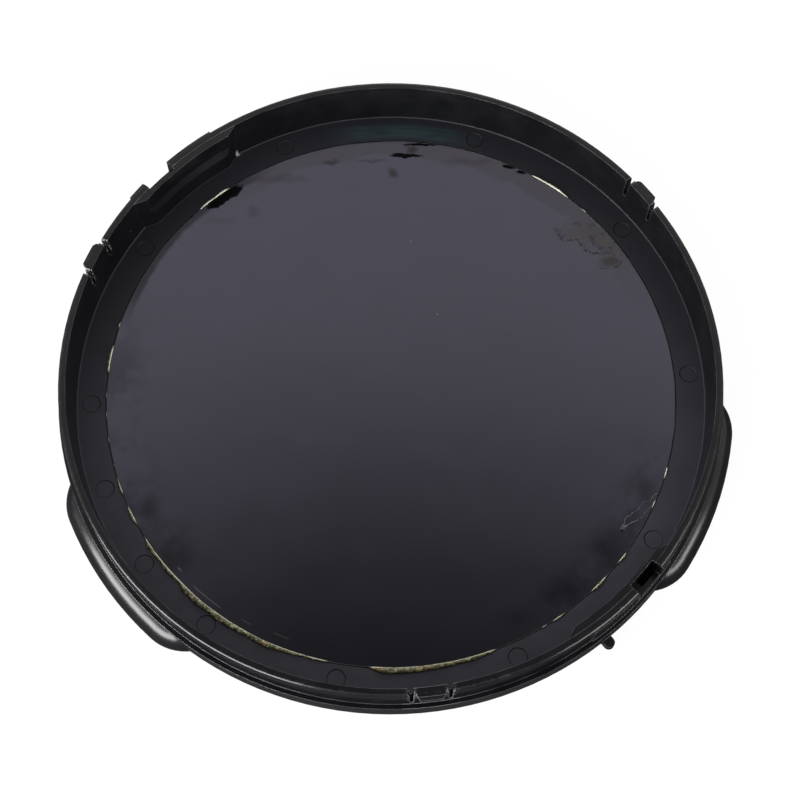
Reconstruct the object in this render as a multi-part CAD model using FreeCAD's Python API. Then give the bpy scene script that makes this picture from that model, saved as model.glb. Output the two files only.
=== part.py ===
import FreeCAD, Part
import math
import os

# Solar filter cell for the front of a telescope, face down with its open side up.
# Millimetres. +Z points out of the open side, along the optical axis. The origin is on
# that axis, in the plane of the shoulder that seats on the telescope's ring.
# Angles are in degrees, anticlockwise from +X, seen from the open side.

# Window, film and the web that carries them
APERTURE = 203.2
WINDOW_BEVEL = 1.2
WEB = 2.2
WEB_WIDTH = 14.4
FILM_SEAT = 3.5
FILM_CLEARANCE = 0.3
FILM_THICKNESS = 0.6

# Side wall, which plugs into the telescope's ring, and the flange below its shoulder
WALL = 2.7
INSIDE_DRAFT = 0.8
PLUG_HEIGHT = 11.9
FLANGE_HEIGHT = 10.2
SHOULDER_WIDTH = 1.8
LIP_ROUND = 1.1
LIP_STEPS = 3
FOOT_BEVEL = 0.3
FRONT_BEVEL = 2.2

# Three finger ears on the flange
EAR_CENTRES = (98.0, 216.3, 339.1)
EAR_REACH = 4.9
EAR_FLAT_SPAN = 24.2
EAR_END_ROUND = 18.6
EAR_END_BURIED = 4.0
EAR_DROP = 0.6
EAR_EDGE_HEIGHT = 2.8
EAR_BULGE = 1.0
EAR_BEVEL = 0.9

# Three snap tabs, each between two slots
TAB_CENTRES = (37.2, 157.9, 276.8)
SLOT_PITCH = 13.4
SLOT_WIDTH = 1.4
SLOT_DEPTH = 10.0
SLOT_FLARE = 1.4
HOOK_REACH = 1.7
HOOK_DEPTH = 3.0
HOOK_CHAMFER = 1.1
HOOK_WIDTH = 10.0
HOOK_NARROWING = 2.0

# Two inward bosses, each with a catch pocket, and the pads outside them
BOSS_CENTRES = (133.2, 313.5)
BOSS_SPAN = 23.4
BOSS_DEPTH = 2.7
BOSS_DROP = 0.3
BOSS_END_SLANT = 58.0
SHELF_DEPTH = 3.9
SHELF_HEIGHT = 8.3
SHELF_SLOPE = 3.3
POCKET_OFFSET = 5.0
POCKET_SPAN = 6.0
POCKET_SKIN = 1.2
POCKET_WIDTH = 2.6
POCKET_LIP = 4.0
WELL_DEPTH = 6.5
PAD_OFFSET = 1.9
PAD_SPAN = 19.4
PAD_PROUD = 0.5
PAD_DROP = 0.6

# Small peg on the flange
PEG_ANGLE = 308.5
PEG_REACH = 3.5
PEG_WIDTH = 3.9
PEG_THICKNESS = 3.0
PEG_RISE = 0.8

# Ejector pin marks on the web
PIN_MARKS = (3.1, 36.8, 73.0, 112.3, 148.3, 183.3, 200.9, 217.7, 234.3, 260.3, 293.8, 328.2)
PIN_MARK_OFFSET = 5.3
PIN_MARK_RADIUS = 3.3
PIN_MARK_DEPTH = 0.15

# Bead of glue round the film's edge: a thin seam, and its dabs and arcs
# (first angle, last angle, width, height)
GLUE_OVERLAP = 0.3
SEAM_OVERLAP = 0.18
SEAM_HEIGHT = 0.2
DABS = (
    (40.5, 46.0, 0.9, 0.35),
    (49.5, 60.0, 1.1, 0.5),
    (128.0, 134.7, 1.2, 0.6),
    (170.5, 176.0, 1.2, 0.7),
    (181.0, 192.0, 0.9, 0.35),
    (196.5, 203.5, 1.4, 0.8),
    (206.0, 210.0, 1.6, 0.9),
    (216.0, 257.0, 2.1, 1.1),
    (266.0, 288.0, 2.4, 1.2),
    (300.0, 306.0, 1.2, 0.7),
    (313.0, 316.5, 1.2, 0.8),
    (320.3, 322.8, 1.0, 0.6),
    (340.0, 343.0, 1.0, 0.5),
)

# Radii and levels that follow from the sizes above
WINDOW_RADIUS = APERTURE / 2
FILM_RADIUS = WINDOW_RADIUS + FILM_SEAT
REBATE_RADIUS = FILM_RADIUS + FILM_CLEARANCE
FOOT_RADIUS = WINDOW_RADIUS + WEB_WIDTH
MOUTH_RADIUS = FOOT_RADIUS + INSIDE_DRAFT
PLUG_RADIUS = MOUTH_RADIUS + WALL
CORE_RADIUS = PLUG_RADIUS - WALL / 2
FLANGE_RADIUS = PLUG_RADIUS + SHOULDER_WIDTH
EAR_RADIUS = FLANGE_RADIUS + EAR_REACH
FRONT_Z = -FLANGE_HEIGHT
WEB_Z = FRONT_Z + WEB
REBATE_Z = WEB_Z - FILM_THICKNESS
TAB_SPAN = math.degrees(SLOT_PITCH / PLUG_RADIUS)
CLEARANCE = 5.0
AXIS = FreeCAD.Vector(0, 0, 1)
CENTRE = FreeCAD.Vector(0, 0, 0)


def section_face(steps):
    """Face in the XZ plane. A step is a corner, or an arc's middle point and its end."""
    points = [FreeCAD.Vector(step[-1][0], 0, step[-1][1]) for step in steps]
    edges = []
    for index, step in enumerate(steps):
        start = points[index - 1]
        end = points[index]
        if len(step) == 2:
            middle = FreeCAD.Vector(step[0][0], 0, step[0][1])
            edges.append(Part.Arc(start, middle, end).toShape())
        else:
            edges.append(Part.makeLine(start, end))
    return Part.Face(Part.Wire(edges))


def lip_corners():
    """Rounded outer edge of the rim, in a few straight steps."""
    corners = []
    for step in range(LIP_STEPS + 1):
        angle = math.pi / 2 * step / LIP_STEPS
        out = PLUG_RADIUS - LIP_ROUND + LIP_ROUND * math.cos(angle)
        up = PLUG_HEIGHT - LIP_ROUND + LIP_ROUND * math.sin(angle)
        corners.append([(out, up)])
    return corners


def turned(face, centre_angle, span):
    """Section turned about the optical axis, over a span about a centre angle."""
    section = face.copy()
    section.rotate(CENTRE, AXIS, centre_angle - span / 2)
    return section.revolve(CENTRE, AXIS, span)


def turned_box(inner, outer, low, high, centre_angle, span):
    corners = [[(inner, low)], [(outer, low)], [(outer, high)], [(inner, high)]]
    return turned(section_face(corners), centre_angle, span)


def upright(corners, centre_angle, low, height):
    """Prism from plan corners given as outward and sideways distances."""
    points = [FreeCAD.Vector(out, side, low) for out, side in corners]
    solid = Part.Face(Part.makePolygon(points + points[:1])).extrude(AXIS * height)
    solid.rotate(CENTRE, AXIS, centre_angle)
    return solid


def moulding_section():
    """Wall, shoulder, flange, web and film rebate in one section."""
    return section_face([
        [(WINDOW_RADIUS + WINDOW_BEVEL, FRONT_Z)],
        [(FLANGE_RADIUS - FRONT_BEVEL, FRONT_Z)],
        [(FLANGE_RADIUS, FRONT_Z + FRONT_BEVEL)],
        [(FLANGE_RADIUS, 0)],
        [(PLUG_RADIUS, 0)],
        *lip_corners(),
        [(MOUTH_RADIUS, PLUG_HEIGHT)],
        [(FOOT_RADIUS, WEB_Z + FOOT_BEVEL)],
        [(FOOT_RADIUS - FOOT_BEVEL, WEB_Z)],
        [(REBATE_RADIUS, WEB_Z)],
        [(REBATE_RADIUS, REBATE_Z)],
        [(WINDOW_RADIUS, REBATE_Z)],
        [(WINDOW_RADIUS, FRONT_Z + WINDOW_BEVEL)],
    ])


def ear_section():
    """Convex finger ear, rooted inside the flange."""
    root = CORE_RADIUS
    top = -EAR_DROP
    shoulder = FRONT_Z + EAR_EDGE_HEIGHT
    rise = top - shoulder
    slope = math.hypot(EAR_REACH, rise)
    crown = (
        FLANGE_RADIUS + EAR_REACH / 2 + EAR_BULGE * rise / slope,
        (shoulder + top) / 2 + EAR_BULGE * EAR_REACH / slope,
    )
    return section_face([
        [(root, FRONT_Z)],
        [(EAR_RADIUS - EAR_BEVEL, FRONT_Z)],
        [(EAR_RADIUS, FRONT_Z + EAR_BEVEL)],
        [(EAR_RADIUS, shoulder)],
        [crown, (FLANGE_RADIUS, top)],
        [(root, top)],
    ])


def ear_solids(centre_angle):
    """Middle turned about the optical axis, ends turned about upright lines inside it."""
    section = ear_section()
    pivot = EAR_RADIUS - EAR_END_ROUND
    meets_flange = (FLANGE_RADIUS**2 - pivot**2 - EAR_END_ROUND**2) / (2 * pivot * EAR_END_ROUND)
    sweep = math.degrees(math.acos(meets_flange)) + EAR_END_BURIED
    solids = [turned(section, centre_angle, EAR_FLAT_SPAN)]
    inside = Part.makeCylinder(CORE_RADIUS, FLANGE_HEIGHT, CENTRE - AXIS * FLANGE_HEIGHT)
    for side in (-1, 1):
        end = section.revolve(FreeCAD.Vector(pivot, 0, 0), AXIS * side, sweep)
        end.rotate(CENTRE, AXIS, centre_angle + side * EAR_FLAT_SPAN / 2)
        solids.append(end.cut(inside))
    return solids


def hook_solid(centre_angle):
    """Snap head outside a tab, with a flat underside and a lead-in chamfer."""
    tip = PLUG_RADIUS + HOOK_REACH
    low = PLUG_HEIGHT - HOOK_DEPTH
    head = turned(section_face([
        [(CORE_RADIUS, low)],
        [(tip, low)],
        [(tip, PLUG_HEIGHT - HOOK_CHAMFER)],
        [(tip - HOOK_CHAMFER, PLUG_HEIGHT)],
        [(CORE_RADIUS, PLUG_HEIGHT)],
    ]), centre_angle, TAB_SPAN)
    half = HOOK_WIDTH / 2
    narrow = half - HOOK_NARROWING
    corners = [
        (MOUTH_RADIUS, -half),
        (PLUG_RADIUS, -half),
        (tip + HOOK_REACH, -narrow),
        (tip + HOOK_REACH, narrow),
        (PLUG_RADIUS, half),
        (MOUTH_RADIUS, half),
    ]
    return head.common(upright(corners, centre_angle, low - 1, HOOK_DEPTH + 2))


def slot_cutters(centre_angle):
    """The two slots of a tab, round at the bottom and flared at the rim."""
    half = SLOT_WIDTH / 2
    low = PLUG_HEIGHT - SLOT_DEPTH + half
    high = PLUG_HEIGHT - SLOT_FLARE
    bend = SLOT_FLARE * (1 - math.sqrt(0.5))
    wide = half + SLOT_FLARE
    above = PLUG_HEIGHT + CLEARANCE
    outline = section_face([
        [(-half, low)],
        [(0, low - half), (half, low)],
        [(half, high)],
        [(half + bend, PLUG_HEIGHT - bend), (wide, PLUG_HEIGHT)],
        [(wide, above)],
        [(-wide, above)],
        [(-wide, PLUG_HEIGHT)],
        [(-half - bend, PLUG_HEIGHT - bend), (-half, high)],
    ])
    start = FOOT_RADIUS - CLEARANCE
    reach = EAR_RADIUS - start
    cutters = []
    for side in (-1, 1):
        cutter = outline.extrude(FreeCAD.Vector(0, reach, 0))
        cutter.translate(FreeCAD.Vector(side * SLOT_PITCH / 2, start, 0))
        cutter.rotate(CENTRE, AXIS, centre_angle - 90)
        cutters.append(cutter)
    return cutters


def boss_solid(centre_angle):
    """Inward boss with a sloping shelf, its end faces slanting into the wall."""
    face_radius = MOUTH_RADIUS - BOSS_DEPTH
    shelf_radius = MOUTH_RADIUS - SHELF_DEPTH
    shelf = WEB_Z + SHELF_HEIGHT
    top = PLUG_HEIGHT - BOSS_DROP
    ring = turned(section_face([
        [(shelf_radius, WEB_Z - WEB / 2)],
        [(CORE_RADIUS, WEB_Z - WEB / 2)],
        [(CORE_RADIUS, top)],
        [(face_radius, top)],
        [(face_radius, shelf + SHELF_SLOPE)],
        [(shelf_radius, shelf)],
    ]), centre_angle, 2 * BOSS_SPAN)
    half_angle = math.radians(BOSS_SPAN / 2)
    slant = math.radians(BOSS_SPAN / 2 + BOSS_END_SLANT)
    side = []
    for reach in (-PLUG_HEIGHT, WALL):
        out = FOOT_RADIUS * math.cos(half_angle) + reach * math.cos(slant)
        across = FOOT_RADIUS * math.sin(half_angle) + reach * math.sin(slant)
        side.append((out, across))
    side.append((EAR_RADIUS, side[-1][1]))
    corners = side + [(out, -across) for out, across in reversed(side)]
    return ring.common(upright(corners, centre_angle, FRONT_Z, FLANGE_HEIGHT + PLUG_HEIGHT))


def pad_solid(centre_angle):
    outer = PLUG_RADIUS + PAD_PROUD
    return turned_box(CORE_RADIUS, outer, -WEB, PLUG_HEIGHT - PAD_DROP, centre_angle, PAD_SPAN)


def pocket_cutters(centre_angle):
    """Catch pocket down to the shoulder, its well, and the outer skin cut low."""
    inner = MOUTH_RADIUS - BOSS_DEPTH + POCKET_SKIN
    outer = inner + POCKET_WIDTH
    above = PLUG_HEIGHT + CLEARANCE
    half = POCKET_SPAN / 2
    well_centre = centre_angle + half / 2
    return [
        turned_box(inner, outer, 0, above, centre_angle, POCKET_SPAN),
        turned_box(inner, outer, -WELL_DEPTH, above, well_centre, half),
        turned_box(inner, EAR_RADIUS, POCKET_LIP, above, centre_angle, POCKET_SPAN),
    ]


def peg_solid():
    """Flat peg with a rounded tip, low on the flange."""
    half = PEG_WIDTH / 2
    low = FRONT_Z + PEG_RISE
    start = PLUG_RADIUS
    tip = FLANGE_RADIUS + PEG_REACH - half
    bar = Part.makeBox(tip - start, PEG_WIDTH, PEG_THICKNESS, FreeCAD.Vector(start, -half, low))
    end = Part.makeCylinder(half, PEG_THICKNESS, FreeCAD.Vector(tip, 0, low))
    peg = bar.fuse(end).removeSplitter()
    peg.rotate(CENTRE, AXIS, PEG_ANGLE)
    return peg


def pin_mark(angle):
    radius = FILM_RADIUS + PIN_MARK_OFFSET
    mark = Part.makeCylinder(
        PIN_MARK_RADIUS, CLEARANCE, FreeCAD.Vector(radius, 0, WEB_Z - PIN_MARK_DEPTH))
    mark.rotate(CENTRE, AXIS, angle)
    return mark


def filter_cell():
    added = [peg_solid()]
    removed = [pin_mark(angle) for angle in PIN_MARKS]
    for angle in EAR_CENTRES:
        added.extend(ear_solids(angle))
    for angle in BOSS_CENTRES:
        added.append(boss_solid(angle))
        added.append(pad_solid(angle + PAD_OFFSET))
        removed.extend(pocket_cutters(angle + POCKET_OFFSET))
    for angle in TAB_CENTRES:
        added.append(hook_solid(angle))
        removed.extend(slot_cutters(angle))
    body = moulding_section().revolve(CENTRE, AXIS, 360)
    return body.fuse(added).removeSplitter().cut(removed).removeSplitter()


def solar_film():
    return Part.makeCylinder(FILM_RADIUS, FILM_THICKNESS, FreeCAD.Vector(0, 0, REBATE_Z))


def bead_face(inner, outer, height):
    """Low section of glue with sloping sides, flat on the film and the web."""
    slope = (outer - inner) / 4
    top = WEB_Z + height
    return section_face([
        [(inner, WEB_Z)],
        [(outer, WEB_Z)],
        [(outer - slope, top)],
        [(inner + slope, top)],
    ])


def dab(first, last, width, height):
    inner = FILM_RADIUS - GLUE_OVERLAP
    return turned(bead_face(inner, inner + width, height), (first + last) / 2, last - first)


def adhesive_bead():
    """Thin seam all the way round, and the dabs on it."""
    inner = FILM_RADIUS - SEAM_OVERLAP
    outer = REBATE_RADIUS + SEAM_OVERLAP
    seam = bead_face(inner, outer, SEAM_HEIGHT).revolve(CENTRE, AXIS, 360)
    dabs = [dab(first, last, width, height) for first, last, width, height in DABS]
    return seam.fuse(dabs).removeSplitter()


def main():
    os.makedirs("parts", exist_ok=True)
    nodes = {
        "filter_cell": filter_cell(),
        "solar_film": solar_film(),
        "adhesive_bead": adhesive_bead(),
    }
    for name, shape in nodes.items():
        shape.exportStep(f"parts/{name}.step")
        print(name, shape.isValid(), len(shape.Solids), round(shape.Volume), shape.BoundBox)


main()
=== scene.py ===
"""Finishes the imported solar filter: moulded plastic, mirror-like film, glue and a studio stage."""

import math

import bpy
from mathutils import Matrix, Vector, noise


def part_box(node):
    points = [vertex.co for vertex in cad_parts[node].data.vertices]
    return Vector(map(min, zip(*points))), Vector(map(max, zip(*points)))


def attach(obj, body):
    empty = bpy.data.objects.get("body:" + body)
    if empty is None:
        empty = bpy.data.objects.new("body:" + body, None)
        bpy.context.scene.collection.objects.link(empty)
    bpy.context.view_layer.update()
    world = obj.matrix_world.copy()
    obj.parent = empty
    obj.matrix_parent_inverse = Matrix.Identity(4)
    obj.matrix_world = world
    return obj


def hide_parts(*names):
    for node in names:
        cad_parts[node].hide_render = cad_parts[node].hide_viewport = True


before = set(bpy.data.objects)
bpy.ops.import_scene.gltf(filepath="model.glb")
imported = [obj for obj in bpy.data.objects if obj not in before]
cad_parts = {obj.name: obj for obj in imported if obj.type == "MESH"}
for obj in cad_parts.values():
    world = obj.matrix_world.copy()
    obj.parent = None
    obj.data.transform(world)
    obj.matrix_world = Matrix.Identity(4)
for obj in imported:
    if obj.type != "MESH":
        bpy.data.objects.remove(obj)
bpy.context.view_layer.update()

bl_info = {
    "name": "Solar filter finish",
    "version": (1, 0, 0),
    "blender": (4, 5, 0),
    "location": "3D View > Sidebar > Solar filter",
    "description": "Finishes a telescope's solar filter, its film and its glue, and sets a stage",
    "category": "Object",
}

MM = 0.001
FILM_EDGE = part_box("solar_film")[1].x / MM
WEB_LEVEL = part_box("solar_film")[1].z / MM
RIM_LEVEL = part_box("filter_cell")[1].z / MM
FLOOR_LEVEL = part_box("filter_cell")[0].z / MM


# Shader maths


class Wire:
    """A socket of a material, which can be used in sums."""

    def __init__(self, board, socket):
        self.board = board
        self.socket = socket

    def maths(self, operation, *values):
        inputs = dict(enumerate((self, *values)))
        return self.board.node("Math", {"operation": operation}, inputs)

    def __add__(self, other):
        return self.maths("ADD", other)

    __radd__ = __add__

    def __mul__(self, other):
        return self.maths("MULTIPLY", other)

    __rmul__ = __mul__

    def __sub__(self, other):
        return self.maths("SUBTRACT", other)

    def __rsub__(self, other):
        return (self * -1.0) + other

    def __truediv__(self, other):
        return self.maths("DIVIDE", other)

    def __abs__(self):
        return self.maths("ABSOLUTE")

    def rise(self, low, high):
        """0 at low and 1 at high, smooth between them. low may be over high."""
        sockets = {"Value": self, "From Min": low, "From Max": high}
        return self.board.node("MapRange", {"interpolation_type": "SMOOTHSTEP"}, sockets)

    def most(self, other):
        return self.maths("MAXIMUM", other)

    def least(self, other):
        return self.maths("MINIMUM", other)


class Board:
    """The nodes of a material or of the world."""

    def __init__(self, tree):
        self.tree = tree
        self.tree.nodes.clear()

    def node(self, kind, settings=None, inputs=None, output=0):
        """Adds a node: its settings first, then the values or wires of its sockets."""
        node = self.tree.nodes.new("ShaderNode" + kind)
        for key, value in (settings or {}).items():
            if key == "stops":
                set_stops(node.color_ramp, value)
            else:
                setattr(node, key, value)
        for key, value in (inputs or {}).items():
            if isinstance(value, Wire):
                self.tree.links.new(value.socket, node.inputs[key])
            else:
                node.inputs[key].default_value = value
        return Wire(self, node.outputs[output])

    def blend(self, amount, first, second):
        """Colour from first to second as amount goes from 0 to 1."""
        settings = {"data_type": "RGBA", "clamp_factor": True}
        return self.node("Mix", settings, {0: amount, 6: first, 7: second}, 2)

    def out(self, kind, shader):
        target = self.tree.nodes.new("ShaderNodeOutput" + kind)
        self.tree.links.new(shader.socket, target.inputs["Surface"])


class Surface(Board):
    """A material's nodes, with the piece's own coordinates in millimetres."""

    def __init__(self, name):
        self.material = bpy.data.materials.new(name)
        self.material.use_nodes = True
        super().__init__(self.material.node_tree)
        place = self.node("TexCoord", output="Object")
        self.place = self.node("VectorMath", {"operation": "SCALE"}, {0: place, "Scale": 1 / MM})
        self.x = self.node("SeparateXYZ", None, {0: self.place}, 0)
        self.y = self.node("SeparateXYZ", None, {0: self.place}, 1)
        self.z = self.node("SeparateXYZ", None, {0: self.place}, 2)
        self.radius = (self.x * self.x + self.y * self.y).maths("SQRT")
        self.angle = self.y.maths("ARCTAN2", self.x) * math.degrees(1)

    def grain(self, scale, detail=2.0, roughness=0.5, place=None, distortion=0.0):
        """Noise from 0 to 1, its scale in features a millimetre."""
        sockets = {
            "Vector": place or self.place,
            "Scale": scale,
            "Detail": detail,
            "Roughness": roughness,
            "Distortion": distortion,
        }
        return self.node("TexNoise", None, sockets)

    def warped(self, scale, reach, detail=2.0):
        """Coordinates pushed about by noise, up to about half of reach in millimetres."""
        sockets = {"Vector": self.place, "Scale": scale, "Detail": detail}
        colours = self.node("TexNoise", None, sockets, "Color")
        away = self.node("VectorMath", {"operation": "SUBTRACT"}, {0: colours, 1: (0.5, 0.5, 0.5)})
        shift = self.node("VectorMath", {"operation": "SCALE"}, {0: away, "Scale": reach})
        return self.node("VectorMath", {"operation": "ADD"}, {0: self.place, 1: shift})

    def flecks(self, spacing, size, share):
        """Small round flecks: one in a share of the cells of a random grid."""
        sockets = {"Vector": self.place, "Scale": 1 / spacing}
        distance = self.node("TexVoronoi", None, sockets, "Distance")
        chance = self.node("TexVoronoi", None, sockets, "Color")
        chosen = self.node("SeparateXYZ", None, {0: chance}, 0).rise(1.0 - share, 1.02 - share)
        return distance.rise(size / spacing, 0.4 * size / spacing) * chosen

    def off_angle(self, centre):
        """Degrees from a centre angle, the short way round."""
        return abs((self.angle - centre).maths("WRAP", 180.0, -180.0))

    def sector(self, first, last, soft=1.0):
        """1 between two angles, in degrees."""
        half = (last - first) / 2
        return self.off_angle((first + last) / 2).rise(half + soft, half - soft)

    def ring(self, inner, outer, soft=0.3):
        """1 between two radii."""
        past_inner = self.radius.rise(inner - soft, inner + soft)
        return past_inner * self.radius.rise(outer + soft, outer - soft)

    def reach(self, x, y, wide, deep, place=None):
        """Distance from a point on the film or web: 1 on the outline of an oval round it."""
        sockets = {0: place or self.place, 1: (x, y, WEB_LEVEL)}
        away = self.node("VectorMath", {"operation": "SUBTRACT"}, sockets)
        flat = (1 / wide, 1 / deep, 0.0)
        sized = self.node("VectorMath", {"operation": "MULTIPLY"}, {0: away, 1: flat})
        return self.node("VectorMath", {"operation": "LENGTH"}, {0: sized}, "Value")

    def spot(self, x, y, wide, deep, place=None, hard=0.4):
        """An oval patch on the film or web: 1 in its middle and 0 outside it."""
        return self.reach(x, y, wide, deep, place).rise(1.0, hard)

    def turned(self, place, x, y, degrees):
        """Coordinates turned about a point, so that a slanting oval lies along x."""
        settings = {"rotation_type": "Z_AXIS"}
        sockets = {"Vector": place, "Center": (x, y, 0.0), "Angle": math.radians(-degrees)}
        return self.node("VectorRotate", settings, sockets)

    def bump(self, height, distance, strength=1.0, normal=None):
        sockets = {"Height": height, "Distance": distance * MM, "Strength": strength}
        if normal:
            sockets["Normal"] = normal
        return self.node("Bump", None, sockets)

    def finish(self, **sockets):
        """The shader itself, with its sockets' values or wires by name."""
        named = {name.replace("_", " "): value for name, value in sockets.items()}
        self.out("Material", self.node("BsdfPrincipled", None, named, "BSDF"))
        return self.material


def set_stops(ramp, stops):
    while len(ramp.elements) > 1:
        ramp.elements.remove(ramp.elements[-1])
    ramp.elements[0].position, ramp.elements[0].color = stops[0]
    for position, colour in stops[1:]:
        ramp.elements.new(position).color = colour


def rgb(red, green, blue):
    return (red, green, blue, 1.0)


# Settings


class CellSettings(bpy.types.PropertyGroup):
    colour: bpy.props.FloatVectorProperty(
        name="Plastic colour", description="Base colour of the moulded cell",
        default=(0.0035, 0.0035, 0.0045), subtype="COLOR", min=0.0, max=1.0)
    web_colour: bpy.props.FloatVectorProperty(
        name="Web colour", description="Colour of the textured web round the film",
        default=(0.038, 0.035, 0.049), subtype="COLOR", min=0.0, max=1.0)
    roughness: bpy.props.FloatProperty(
        name="Satin", description="Roughness of the smooth walls", default=0.2, subtype="FACTOR",
        min=0.0, max=1.0)
    edge: bpy.props.FloatProperty(
        name="Edge rounding", description="Apparent rounding of the moulded edges", default=0.0004,
        unit="LENGTH", min=0.0, max=0.002)


class FilmSettings(bpy.types.PropertyGroup):
    colour: bpy.props.FloatVectorProperty(
        name="Reflection", description="Share and tint of the light that the film reflects",
        default=(0.083, 0.079, 0.102), subtype="COLOR", min=0.0, max=1.0)
    roughness: bpy.props.FloatProperty(
        name="Haze", description="Roughness of the clean film", default=0.07, subtype="FACTOR",
        min=0.0, max=1.0)


class GlueSettings(bpy.types.PropertyGroup):
    pale: bpy.props.FloatVectorProperty(
        name="Pale glue", description="Colour of the pale glue",
        default=(0.18, 0.175, 0.08), subtype="COLOR", min=0.0, max=1.0)
    aged: bpy.props.FloatVectorProperty(
        name="Yellowed glue", description="Colour of the thick, yellowed glue",
        default=(0.1, 0.085, 0.028), subtype="COLOR", min=0.0, max=1.0)
    lumps: bpy.props.FloatProperty(
        name="Lump size", description="Length of a lump along the bead", default=0.0045,
        unit="LENGTH", min=0.0005, max=0.02)


class StageSettings(bpy.types.PropertyGroup):
    sky: bpy.props.FloatProperty(
        name="Room light", description="Brightness of the white room", default=0.9,
        min=0.0, max=3.0)
    focal_length: bpy.props.FloatProperty(
        name="Lens", description="Focal length on a 36 mm wide sensor", default=78.75, min=10.0,
        max=300.0)


# Glue


def smooth(value, low, high):
    part = min(max((value - low) / (high - low), 0.0), 1.0)
    return part * part * (3 - 2 * part)


# Glue that stayed clear: first and last angle in degrees, and how soft the change is
CLEAR_GLUE = ((39.0, 60.0, 1.0), (127.0, 136.0, 1.0), (331.0, 356.0, 0.8))
# The thin seam between the runs of glue: width and height in millimetres
SEAM = (0.36, 0.11)
# Runs of glue, thicker where two overlap: first and last angle in degrees, width and height
# in millimetres
GLUE_RUNS = (
    (39.6, 40.2, 0.5, 0.4),
    (41.2, 41.9, 0.6, 0.45),
    (43.0, 43.6, 0.5, 0.4),
    (44.8, 45.8, 0.6, 0.45),
    (50.3, 58.6, 1.0, 0.6),
    (125.4, 126.6, 0.5, 0.4),
    (127.3, 134.7, 0.75, 0.5),
    (165.3, 167.2, 0.7, 0.4),
    (170.2, 176.0, 1.1, 0.7),
    (181.0, 182.4, 0.7, 0.5),
    (184.1, 186.0, 0.6, 0.45),
    (186.8, 188.4, 0.7, 0.5),
    (190.6, 192.4, 0.6, 0.45),
    (196.5, 198.4, 0.8, 0.5),
    (199.2, 203.5, 0.8, 0.5),
    (206.0, 210.0, 1.0, 0.6),
    (213.5, 252.0, 1.35, 0.85),
    (225.0, 247.0, 2.05, 1.1),
    (250.0, 258.5, 0.9, 0.6),
    (265.5, 270.0, 1.3, 0.8),
    (266.5, 276.5, 2.1, 1.15),
    (274.0, 288.0, 1.7, 1.0),
    (284.0, 290.5, 1.0, 0.6),
    (300.0, 302.0, 0.6, 0.45),
    (303.0, 306.0, 0.8, 0.5),
    (312.2, 316.8, 1.1, 0.8),
    (320.3, 323.2, 1.0, 0.7),
    (334.4, 335.0, 0.45, 0.4),
    (340.6, 342.0, 0.6, 0.45),
    (343.4, 343.9, 0.45, 0.4),
    (347.8, 348.4, 0.45, 0.4),
    (352.2, 352.7, 0.45, 0.4),
)


def along_bead(angle, scale, seed):
    """Noise from -1 to 1 round the bead, with no seam where it closes."""
    turn = math.radians(angle)
    reach = FILM_EDGE * MM / scale
    return noise.noise(Vector((reach * math.cos(turn), reach * math.sin(turn), seed)))


def bead_size(angle, lump):
    """Width and height of the glue at an angle, in millimetres."""
    wide, tall = SEAM
    for first, last, width, height in GLUE_RUNS:
        ragged = 0.6 * along_bead(angle, lump * 0.7, 7.0)
        soft = min(0.8, 0.4 * (last - first))
        ends = smooth(angle, first - 0.4 * soft + ragged, first + soft + ragged)
        ends *= smooth(angle, last + 0.4 * soft + ragged, last - soft + ragged)
        wide = max(wide, width * ends)
        tall = max(tall, height * ends)
    swell = 1 + 0.55 * along_bead(angle, lump, 1.0) + 0.3 * along_bead(angle, lump * 0.35, 2.0)
    return wide * max(swell, 0.35), tall * max(swell, 0.3)


class SOLARFILTER_OT_glue(bpy.types.Operator):
    """Model the uneven bead of glue round the film's edge"""

    bl_idname = "solarfilter.glue"
    bl_label = "Glue bead"

    def execute(self, context):
        settings = context.scene.solar_filter_glue
        bpy.ops.object.select_all(action="DESELECT")
        bpy.ops.mesh.primitive_torus_add(
            major_segments=1440, minor_segments=10,
            major_radius=FILM_EDGE * MM, minor_radius=0.4 * MM)
        bead = context.object
        bead.name = bead.data.name = "glue_bead"
        for vertex in bead.data.vertices:
            x, y, up = vertex.co
            out = math.hypot(x, y) - FILM_EDGE * MM
            angle = math.degrees(math.atan2(y, x)) % 360
            around = math.atan2(up, out)
            width, height = bead_size(angle, settings.lumps)
            waver = 0.18 * along_bead(angle, settings.lumps * 2.2, 3.0)
            inner = FILM_EDGE - 0.28 + min(waver, 0.15)
            lean = 0.3 * along_bead(angle, settings.lumps * 0.8, 4.0)
            rough = 1 + 0.35 * noise.noise(Vector((x, y, around * 0.6 * MM)) / (0.9 * MM))
            part = 0.5 + 0.5 * math.cos(around) + 0.12 * lean * math.sin(around)
            rise = max(math.sin(around), 0.0) ** 0.8 * min(height * rough, 1.15)
            turn = math.radians(angle)
            level = WEB_LEVEL + rise - (0.03 if math.sin(around) < -0.01 else 0.0)
            reach = min(inner + width * part, FILM_EDGE + 2.05)
            vertex.co = Vector((reach * math.cos(turn), reach * math.sin(turn), level)) * MM
        bpy.ops.object.mode_set(mode="EDIT")
        bpy.ops.mesh.select_all(action="SELECT")
        bpy.ops.mesh.normals_make_consistent(inside=False)
        bpy.ops.mesh.faces_shade_smooth()
        bpy.ops.object.mode_set(mode="OBJECT")
        bead.data.materials.append(glue_material(settings))
        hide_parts("adhesive_bead")
        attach(bead, "root")
        return {"FINISHED"}


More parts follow.
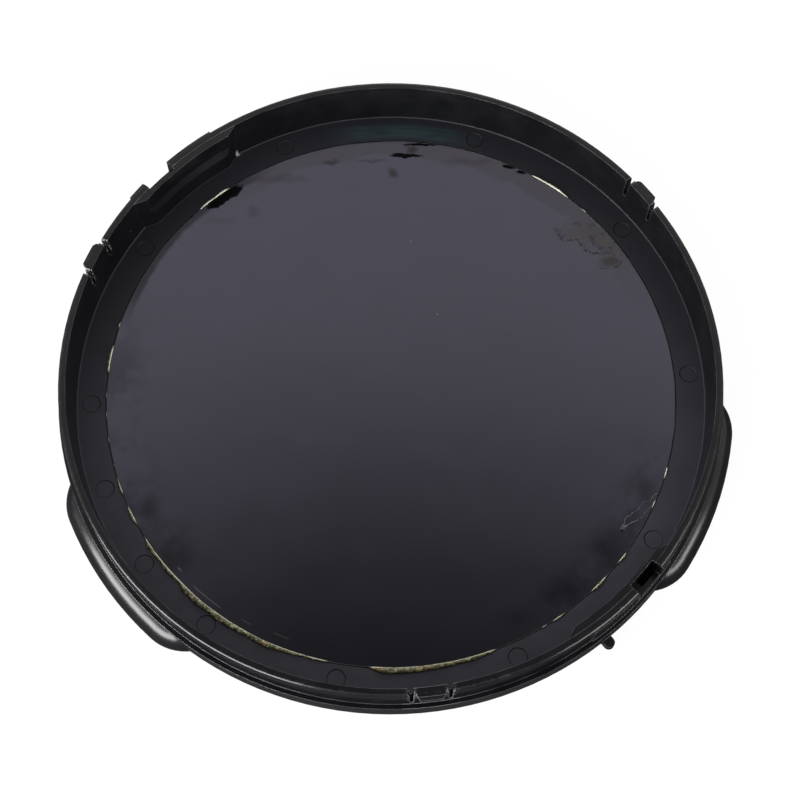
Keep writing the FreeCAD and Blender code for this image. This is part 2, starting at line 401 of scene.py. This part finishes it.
def glue_material(settings):
    """Cured glue, pale and yellowed by turns, with dark and brown specks, a dark thin seam, painted
    shadow along the bead's low edges and a painted highlight along its inner edge.
    """
    board = Surface("cured_glue")
    cloud = board.grain(0.33, 3.0, 0.6)
    fine = board.grain(1.1, 4.0, 0.75)
    clear = fine * 0.0
    for first, last, soft in CLEAR_GLUE:
        clear = clear.most(board.sector(first, last, soft))
    colour = board.blend(cloud.rise(0.38, 0.62), rgb(*settings.pale), rgb(*settings.aged))
    brown = board.grain(0.2).rise(0.52, 0.66)
    colour = board.blend(brown * 0.7, colour, rgb(0.26, 0.15, 0.03))
    colour = board.blend(clear, colour, rgb(0.68, 0.67, 0.6))
    colour = board.blend(fine.rise(0.54, 0.6) * 0.7, colour, rgb(0.6, 0.58, 0.4))
    colour = board.blend(fine.rise(0.5, 0.43) * 0.9, colour, rgb(0.03, 0.031, 0.01))
    # Painted highlight: a light line along the bead's inner edge.
    lip = board.ring(FILM_EDGE - 0.4, FILM_EDGE + 0.12, 0.12) * cloud.rise(0.3, 0.5)
    colour = board.blend(lip * 0.85, colour, rgb(0.7, 0.67, 0.5))
    # Dark where the glue lies low: the thin seam between runs, and painted shadow along the bead's
    # low edges.
    thin = board.z.rise(WEB_LEVEL + 0.5, WEB_LEVEL + 0.25)
    thin = thin.least(1.0 - clear * board.z.rise(WEB_LEVEL + 0.14, WEB_LEVEL + 0.24))
    colour = board.blend(thin, colour, rgb(0.006, 0.006, 0.005))
    return board.finish(
        Base_Color=colour,
        Roughness=0.16 + fine * 0.35,
        Normal=board.bump(fine * 0.5 + cloud, 0.4, 0.7))


# Film


# Tan smudges on the film: middle, half width, half depth (millimetres), strength
SMUDGES = (
    (0.3, 90.8, 3.3, 3.9, 0.75),
    (7.5, 101.5, 3.5, 3.0, 0.8),
    (83.0, 52.5, 4.8, 2.6, 0.6),
    (-8.0, 96.3, 8.0, 1.0, 0.5),
    (-24.0, 95.8, 5.5, 1.4, 0.7),
    (-43.0, 88.0, 16.0, 2.6, 0.3),
    (31.0, 96.0, 14.0, 2.4, 0.3),
    (-53.2, 73.6, 4.0, 4.0, 0.3),
    (-66.0, 70.0, 9.0, 3.0, 0.2),
)
# Tan haze with a thin dark lower edge: middle, half width and half depth (millimetres)
HAZES = (
    (70.0, 66.5, 7.5, 5.5),
    (78.0, 62.5, 6.5, 7.0),
    (86.0, 57.5, 3.2, 3.0),
    (83.0, 52.8, 5.2, 3.2),
)
# Black marks near the film's far edge: middle, half width and half depth (millimetres)
DASHES = (
    (5.5, 98.5, 7.6, 1.05),
    (2.5, 99.3, 3.0, 0.7),
    (12.0, 103.6, 9.0, 0.7),
    (46.5, 93.8, 4.2, 1.2),
    (51.5, 91.3, 3.6, 1.2),
)
# Black mark beside the clear glue: middle, half length and half width (millimetres), slant
WEDGE = (-64.6, 80.2, 9.0, 2.6, 38.4)
# Outline of a drop of clear glue, in the same terms
DROP = (90.4, -47.4, 9.5, 1.4, 42.0)
# Scratches round the film: first and last angle, soft ends (degrees), inner and outer radius
SCRATCHES = (
    (222.4, 223.4, 0.3, 101.9, 102.3),
    (227.5, 234.5, 0.6, 102.6, 102.95),
    (239.3, 241.5, 0.3, 101.9, 102.15),
    (246.3, 249.5, 0.4, 101.0, 101.3),
)
# Soft dark clouds on the film: middle, half width, half depth (millimetres), strength
CLOUDS = (
    (77.0, -62.0, 9.0, 12.0, 0.55),
    (62.0, -77.0, 13.0, 8.0, 0.5),
    (45.0, -87.0, 10.0, 6.0, 0.3),
    (92.0, -40.0, 6.0, 11.0, 0.5),
    (-77.0, -65.0, 11.0, 10.0, 0.5),
    (-87.0, -46.0, 6.0, 8.0, 0.55),
)


def film_material(settings):
    """Mirror-like dark film with smudges, haze, dried glue, scratches and dust."""
    board = Surface("black_film")
    drift = board.grain(0.06, 4.0, 0.6)
    fine = board.grain(0.9, 4.0, 0.6)
    bent = board.warped(0.16, 5.0, 3.0)
    ragged = board.warped(0.5, 1.6)
    smudges = dashes = clouds = haze = edge = scratches = fine * 0.0
    for x, y, wide, deep, weight in SMUDGES:
        smudges = smudges.most(board.spot(x, y, wide, deep, bent, 0.3) * weight)
    for x, y, wide, deep in DASHES:
        dashes = dashes.most(board.spot(x, y, wide, deep, ragged, 0.6))
    x, y, wide, deep, slant = WEDGE
    turned = board.turned(board.warped(0.3, 5.0, 3.0), x, y, slant)
    dashes = dashes.most(board.spot(x, y, wide, deep, turned, 0.7))
    for x, y, wide, deep, weight in CLOUDS:
        clouds = clouds.most(board.spot(x, y, wide, deep, bent, 0.0) * weight)
    for x, y, wide, deep in HAZES:
        reach = board.reach(x, y, wide, deep, bent)
        haze = haze.most(reach.rise(1.1, 0.5))
        lower = (board.y - y).rise(0.3 * deep, -0.4 * deep)
        edge = edge.most(abs(reach - 0.95).rise(0.22, 0.04) * lower)
    edge = edge * haze.rise(0.9, 0.3) * fine.rise(0.42, 0.62)
    patches = board.grain(0.2, 4.0, 0.6, bent)
    x, y, wide, deep, slant = DROP
    drop = board.reach(x, y, wide, deep, board.turned(board.warped(0.18, 4.0), x, y, slant))
    outline = abs(drop - 1.0).rise(0.14, 0.03) * drift.rise(0.3, 0.5)
    for first, last, soft, inner, outer in SCRATCHES:
        scratch = board.sector(first, last, soft) * board.ring(inner, outer, 0.12)
        scratches = scratches.most(scratch)
    margin = (board.radius + drift * 9.0).rise(101.2, 103.6) * board.sector(25, 125, 12.0)
    fringe = (board.radius + drift * 4.0).rise(103.6, 105.4) * board.sector(120, 162, 6.0)
    cloudy = board.sector(168, 225, 12.0).most(board.sector(300, 346, 6.0))
    cloudy = cloudy * board.radius.rise(86.0, 99.0) * drift.rise(0.42, 0.62)
    dust = board.flecks(9.0, 0.3, 0.22)
    colour = rgb(*settings.colour)
    for amount, tone in (
        (drift.rise(0.3, 0.7) * 0.08, rgb(0.06, 0.06, 0.065)),
        (margin * 0.45, rgb(0.062, 0.056, 0.06)),
        (haze * patches.rise(0.56, 0.4) * 0.8, rgb(0.078, 0.071, 0.069)),
        (haze * patches.rise(0.52, 0.66) * 0.8, rgb(0.042, 0.035, 0.036)),
        (edge * 0.8, rgb(0.025, 0.022, 0.022)),
        (fringe * 0.7, rgb(0.02, 0.019, 0.021)),
        (smudges * 0.8, rgb(0.03, 0.026, 0.025)),
        (cloudy * 0.45, rgb(0.028, 0.026, 0.03)),
        (clouds, rgb(0.022, 0.021, 0.023)),
        (outline * 0.5, rgb(0.24, 0.24, 0.25)),
        (dashes, rgb(0.008, 0.008, 0.009)),
        (scratches * 0.7, rgb(0.3, 0.3, 0.3)),
        (dust * 0.7, rgb(0.4, 0.4, 0.4)),
    ):
        colour = board.blend(amount, colour, tone)
    rough = settings.roughness + smudges.most(haze * 0.5) * 0.16
    rough = rough + dashes * 0.4 + dust * 0.3 + fine * 0.02
    normal = board.bump(board.grain(0.02, 2.0, 0.4), 1.4, 0.12)
    normal = board.bump(outline.rise(0.0, 1.0), 0.2, 0.6, normal)
    return board.finish(Base_Color=colour, Metallic=1.0, Roughness=rough, Normal=normal)


class SOLARFILTER_OT_film(bpy.types.Operator):
    """Finish the solar film"""

    bl_idname = "solarfilter.film"
    bl_label = "Solar film"

    def execute(self, context):
        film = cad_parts["solar_film"]
        material = film_material(context.scene.solar_filter_film)
        for slot in film.material_slots:
            slot.material = material
        return {"FINISHED"}


# Cell


PIN_MARKS = (3.1, 36.8, 73.0, 112.3, 148.3, 183.3, 200.9, 217.7, 234.3, 260.3, 293.8, 328.2)
PIN_MARK_REACH = 110.4
PIN_MARK_RADIUS = 3.3
# Middles of the snap tabs in degrees, and how strongly a painted highlight lightens their slots
SNAP_TABS = ((37.2, 0.1), (157.9, 1.0), (276.8, 0.6))


# Outer edge of the textured web, and inner edge of the lip's painted highlight: radii in millimetres
WEB_EDGE = 116.2
LIP_START = 118.0
# White fleck at a boss: middle, half width and half depth in millimetres
FLECK = (-60.7, 98.8, 1.4, 0.7)


def pin_rings(board):
    """Thin rims of the ejector pin marks."""
    rings = None
    for angle in PIN_MARKS:
        turn = math.radians(angle)
        x, y = PIN_MARK_REACH * math.cos(turn), PIN_MARK_REACH * math.sin(turn)
        rim = abs(board.reach(x, y, PIN_MARK_RADIUS, PIN_MARK_RADIUS) - 1.0)
        rings = rim if rings is None else rings.least(rim)
    return rings.rise(0.085, 0.03)


def cell_material(settings):
    """Black moulding: textured web, smoother walls, pin mark rims and dust, with painted highlights
    on the lip, the edges and the slots, a painted teal reflection and painted shade on the far web.
    """
    board = Surface("cell_plastic")
    grain = board.grain(2.2, 3.0, 0.6)
    mottle = board.grain(0.09, 4.0, 0.55)
    flow = board.grain(0.35, 3.0, 0.6, distortion=0.6)
    web = board.radius.rise(WEB_EDGE + 0.4, WEB_EDGE - 0.4)
    web = web * board.z.rise(WEB_LEVEL + 0.35, WEB_LEVEL + 0.1)
    rings = pin_rings(board) * web
    stretched = board.node("VectorMath", {"operation": "MULTIPLY"}, {
        0: board.place, 1: (0.15, 1.0, 1.0)})
    streaks = board.grain(0.5, 2.0, 0.5, stretched)
    # Painted reflection: a streaked teal reflection painted on the far part of the web.
    painted_sheen = board.sector(76, 100, 5.0) * board.ring(106.5, 112.5, 1.2) * web
    arc = board.sector(74, 102, 2.0) * board.ring(110.9, 111.1, 0.16) * web
    # Painted highlight: speckled light bands along the snap tabs' slots.
    painted_slot_highlight = grain * 0.0
    for angle, weight in SNAP_TABS:
        away = board.off_angle(angle)
        painted_slot_highlight = painted_slot_highlight.most(away.rise(2.4, 2.7) * away.rise(4.1, 3.7) * weight)
    painted_slot_highlight = painted_slot_highlight * board.z.rise(3.0, 6.0) * board.grain(0.9, 3.0, 0.7).rise(0.5, 0.6)
    x, y, wide, deep = FLECK
    fleck = board.spot(x, y, wide, deep, board.warped(0.8, 1.0))
    fleck = fleck * board.z.rise(WEB_LEVEL + 3.0, WEB_LEVEL + 2.5)
    # Painted highlight: a faint light band along the lip's crest, which is also made a little
    # smoother.
    crest = board.radius.rise(LIP_START, LIP_START + 0.6)
    painted_lip_highlight = crest * board.z.rise(RIM_LEVEL - 1.0, RIM_LEVEL - 0.5) * flow.rise(0.5, 0.7)
    fine_dust = board.flecks(2.6, 0.16, 0.1) * mottle.rise(0.45, 0.6)
    dust = board.flecks(7.0, 0.28, 0.16).most(fine_dust)
    eased = board.node("Bevel", {"samples": 6}, {"Radius": settings.edge})
    facing = {0: eased, 1: board.node("NewGeometry", output="Normal")}
    turn = board.node("VectorMath", {"operation": "DOT_PRODUCT"}, facing, "Value")
    # Painted highlight along the rounded edges, strongest at the near snap tab.
    near_tab = board.off_angle(SNAP_TABS[-1][0]).rise(5.0, 4.6)
    glint = turn.rise(0.99, 0.86) * (1.0 - web) * (mottle.rise(0.3, 0.6) * 0.4).most(near_tab)
    # Painted shade: the web's colour darkens towards the far side.
    painted_far_shade = board.y.rise(-70.0, 50.0)
    web_colour = board.blend(painted_far_shade * 0.76, rgb(*settings.web_colour), rgb(0.003, 0.004, 0.007))
    colour = rgb(*settings.colour)
    for amount, tone in (
        (web, web_colour),
        (mottle.rise(0.35, 0.7) * 0.3, rgb(0.012, 0.012, 0.014)),
        (painted_sheen * streaks.rise(0.1, 0.6), rgb(0.018, 0.033, 0.037)),
        (arc.most(rings) * 0.85, rgb(0.002, 0.002, 0.002)),
        (painted_slot_highlight.most(fleck) * 0.7, rgb(0.4, 0.4, 0.39)),
        (painted_lip_highlight * 0.2, rgb(0.06, 0.06, 0.065)),
        (dust * 0.6, rgb(0.4, 0.4, 0.38)),
        (glint, rgb(0.2, 0.2, 0.22)),
    ):
        colour = board.blend(amount, colour, tone)
    rough = board.node("Mix", {"data_type": "FLOAT"}, {0: web, 2: settings.roughness, 3: 0.6})
    rough = rough + mottle * 0.06 - 0.03 + grain * 0.04 - painted_lip_highlight * 0.05
    normal = board.bump(rings, 0.12, 0.8, eased)
    normal = board.bump(flow, 0.2, 0.05, normal)
    normal = board.bump(grain * (web * 0.85 + 0.15), 0.05, 0.3, normal)
    return board.finish(Base_Color=colour, Roughness=rough, IOR=1.38, Normal=normal)


class SOLARFILTER_OT_cell(bpy.types.Operator):
    """Finish the moulded cell"""

    bl_idname = "solarfilter.cell"
    bl_label = "Moulded cell"

    def execute(self, context):
        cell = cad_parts["filter_cell"]
        material = cell_material(context.scene.solar_filter_cell)
        for slot in cell.material_slots:
            slot.material = material
        return {"FINISHED"}


# Stage


# Brightness of the room by height: 0 is the horizon, 1 straight overhead
SKY_STOPS = (
    (0.0, rgb(1.0, 1.0, 1.0)),
    (0.877, rgb(1.0, 1.0, 1.0)),
    (0.903, rgb(0.94, 0.94, 0.94)),
    (0.925, rgb(0.72, 0.72, 0.72)),
    (0.946, rgb(0.44, 0.44, 0.44)),
    (0.963, rgb(0.2, 0.2, 0.2)),
    (0.975, rgb(0.11, 0.11, 0.11)),
    (1.0, rgb(0.05, 0.05, 0.05)),
)
# Share of the floor's light that is its own glow, and its base colour, which shows shadows
FLOOR_GLOW = 0.93
FLOOR_SHADE = 0.07
# Radii in millimetres between which the floor starts to glow in reflections
GLOW_START, GLOW_FULL = 250.0, 600.0
# Camera: tilt in degrees, roll in radians, its place to the right of, above and back from the
# film's middle in millimetres, and the sideways shift of its picture
CAMERA_TILT = 67.888
CAMERA_ROLL = 0.0016
CAMERA_PLACE = (4.457, -4.239, 647.34)
CAMERA_SHIFT = -0.00394
# Softboxes: azimuth and elevation in degrees, width and height in metres, and radiance
SOFTBOXES = (
    ("left_softbox", 221.0, 11.0, 1.05, 0.36, 20.0),
    ("right_softbox", 331.0, 10.0, 0.75, 0.22, 11.0),
    ("front_softbox", 270.0, 45.0, 0.9, 0.55, 1.6),
    ("back_softbox", 85.0, 18.0, 0.6, 0.2, 4.0),
)


def add_floor():
    """Pale floor. Seen directly it is white but for the cell's shadow, and so it is in reflections
    of its far parts."""
    bpy.ops.object.select_all(action="DESELECT")
    bpy.ops.mesh.primitive_plane_add(size=6.0, location=(0.0, 0.0, (FLOOR_LEVEL - 0.02) * MM))
    floor = bpy.context.object
    floor.name = "studio_floor"
    board = Surface("studio_floor")
    seen = board.node("LightPath", output="Is Camera Ray")
    mirrored = board.node("LightPath", output="Is Glossy Ray")
    through = board.node("LightPath", output="Is Transmission Ray")
    far = board.radius.rise(GLOW_START, GLOW_FULL)
    white = seen.most(mirrored.most(through) * far) * FLOOR_GLOW
    colour = board.blend(white, rgb(0.0, 0.0, 0.0), rgb(1.0, 1.0, 1.0))
    shade = rgb(FLOOR_SHADE, FLOOR_SHADE, FLOOR_SHADE)
    board.finish(Base_Color=shade, Roughness=0.9, Emission_Color=colour, Emission_Strength=1.0)
    floor.data.materials.append(board.material)


def add_lamp(name, azimuth, elevation, width, height, radiance):
    """Softbox a metre from the cell, at two angles in degrees, facing it."""
    turn, rise = math.radians(azimuth), math.radians(elevation)
    level = math.cos(rise)
    place = Vector((math.cos(turn) * level, math.sin(turn) * level, math.sin(rise)))
    bpy.ops.object.select_all(action="DESELECT")
    bpy.ops.object.light_add(type="AREA", location=place)
    lamp = bpy.context.object
    lamp.name = name
    lamp.data.shape = "RECTANGLE"
    lamp.data.size, lamp.data.size_y = width, height
    lamp.data.energy = radiance * math.pi * width * height
    lamp.visible_camera = False
    lamp.rotation_mode = "QUATERNION"
    lamp.rotation_quaternion = place.to_track_quat("Z", "Y")


def add_room(strength):
    """White room, darker overhead and behind the camera. The camera itself sees plain white."""
    world = bpy.data.worlds.new("studio_room")
    bpy.context.scene.world = world
    world.use_nodes = True
    board = Board(world.node_tree)
    way = board.node("TexCoord", output="Generated")
    up = board.node("SeparateXYZ", None, {0: way}, 2)
    back = board.node("SeparateXYZ", None, {0: way}, 1)
    sky = board.node("ValToRGB", {"stops": SKY_STOPS}, {0: up})
    colour = board.blend(back.rise(0.15, -0.3) * 0.75, sky, rgb(0.0, 0.0, 0.0))
    seen = board.node("LightPath", output="Is Camera Ray")
    colour = board.blend(seen, colour, rgb(1 / strength, 1 / strength, 1 / strength))
    glow = board.node("Background", None, {"Color": colour, "Strength": strength})
    board.out("World", glow)


def add_camera(focal_length):
    """Camera above and in front of the cell, at the photograph's viewing angle."""
    data = bpy.data.cameras.new("camera")
    camera = bpy.data.objects.new("camera", data)
    bpy.context.scene.collection.objects.link(camera)
    data.sensor_width = 36.0
    data.lens = focal_length
    data.shift_x = CAMERA_SHIFT
    data.clip_start, data.clip_end = 0.01, 20.0
    tilt = math.radians(CAMERA_TILT)
    back = Vector((0.0, -math.cos(tilt), math.sin(tilt)))
    right = Vector((1.0, 0.0, 0.0))
    up = back.cross(right)
    turned = right * math.cos(CAMERA_ROLL) + up * math.sin(CAMERA_ROLL)
    risen = up * math.cos(CAMERA_ROLL) - right * math.sin(CAMERA_ROLL)
    camera.matrix_world = Matrix((turned, risen, back)).transposed().to_4x4()
    place = turned * CAMERA_PLACE[0] + risen * CAMERA_PLACE[1] + back * CAMERA_PLACE[2]
    place += Vector((0.0, 0.0, WEB_LEVEL))
    camera.location = place * MM
    bpy.context.scene.camera = camera


class SOLARFILTER_OT_stage(bpy.types.Operator):
    """Set the floor, the lamps, the room and the camera"""

    bl_idname = "solarfilter.stage"
    bl_label = "Stage"

    def execute(self, context):
        settings = context.scene.solar_filter_stage
        add_floor()
        add_room(settings.sky)
        for name, azimuth, elevation, width, height, radiance in SOFTBOXES:
            add_lamp(name, azimuth, elevation, width, height, radiance)
        add_camera(settings.focal_length)
        context.scene.view_settings.view_transform = "Standard"
        return {"FINISHED"}


# Panel and registration


class SOLARFILTER_PT_panel(bpy.types.Panel):
    bl_label = "Solar filter"
    bl_idname = "SOLARFILTER_PT_panel"
    bl_space_type = "VIEW_3D"
    bl_region_type = "UI"
    bl_category = "Solar filter"

    def draw(self, context):
        for operator, settings, names in PANEL_ROWS:
            box = self.layout.box()
            for name in names:
                box.prop(getattr(context.scene, settings), name)
            box.operator(operator)


PANEL_ROWS = (
    ("solarfilter.cell", "solar_filter_cell", ("colour", "web_colour", "roughness", "edge")),
    ("solarfilter.film", "solar_filter_film", ("colour", "roughness")),
    ("solarfilter.glue", "solar_filter_glue", ("pale", "aged", "lumps")),
    ("solarfilter.stage", "solar_filter_stage", ("sky", "focal_length")),
)
SETTINGS = {
    "solar_filter_cell": CellSettings,
    "solar_filter_film": FilmSettings,
    "solar_filter_glue": GlueSettings,
    "solar_filter_stage": StageSettings,
}
CLASSES = (
    *SETTINGS.values(),
    SOLARFILTER_OT_cell,
    SOLARFILTER_OT_film,
    SOLARFILTER_OT_glue,
    SOLARFILTER_OT_stage,
    SOLARFILTER_PT_panel,
)


def register():
    for item in CLASSES:
        bpy.utils.register_class(item)
    for name, group in SETTINGS.items():
        setattr(bpy.types.Scene, name, bpy.props.PointerProperty(type=group))


def unregister():
    for name in SETTINGS:
        delattr(bpy.types.Scene, name)
    for item in reversed(CLASSES):
        bpy.utils.unregister_class(item)


def main():
    register()
    bpy.ops.solarfilter.cell()
    bpy.ops.solarfilter.film()
    bpy.ops.solarfilter.glue()
    bpy.ops.solarfilter.stage()


if __name__ == "__main__":
    main()
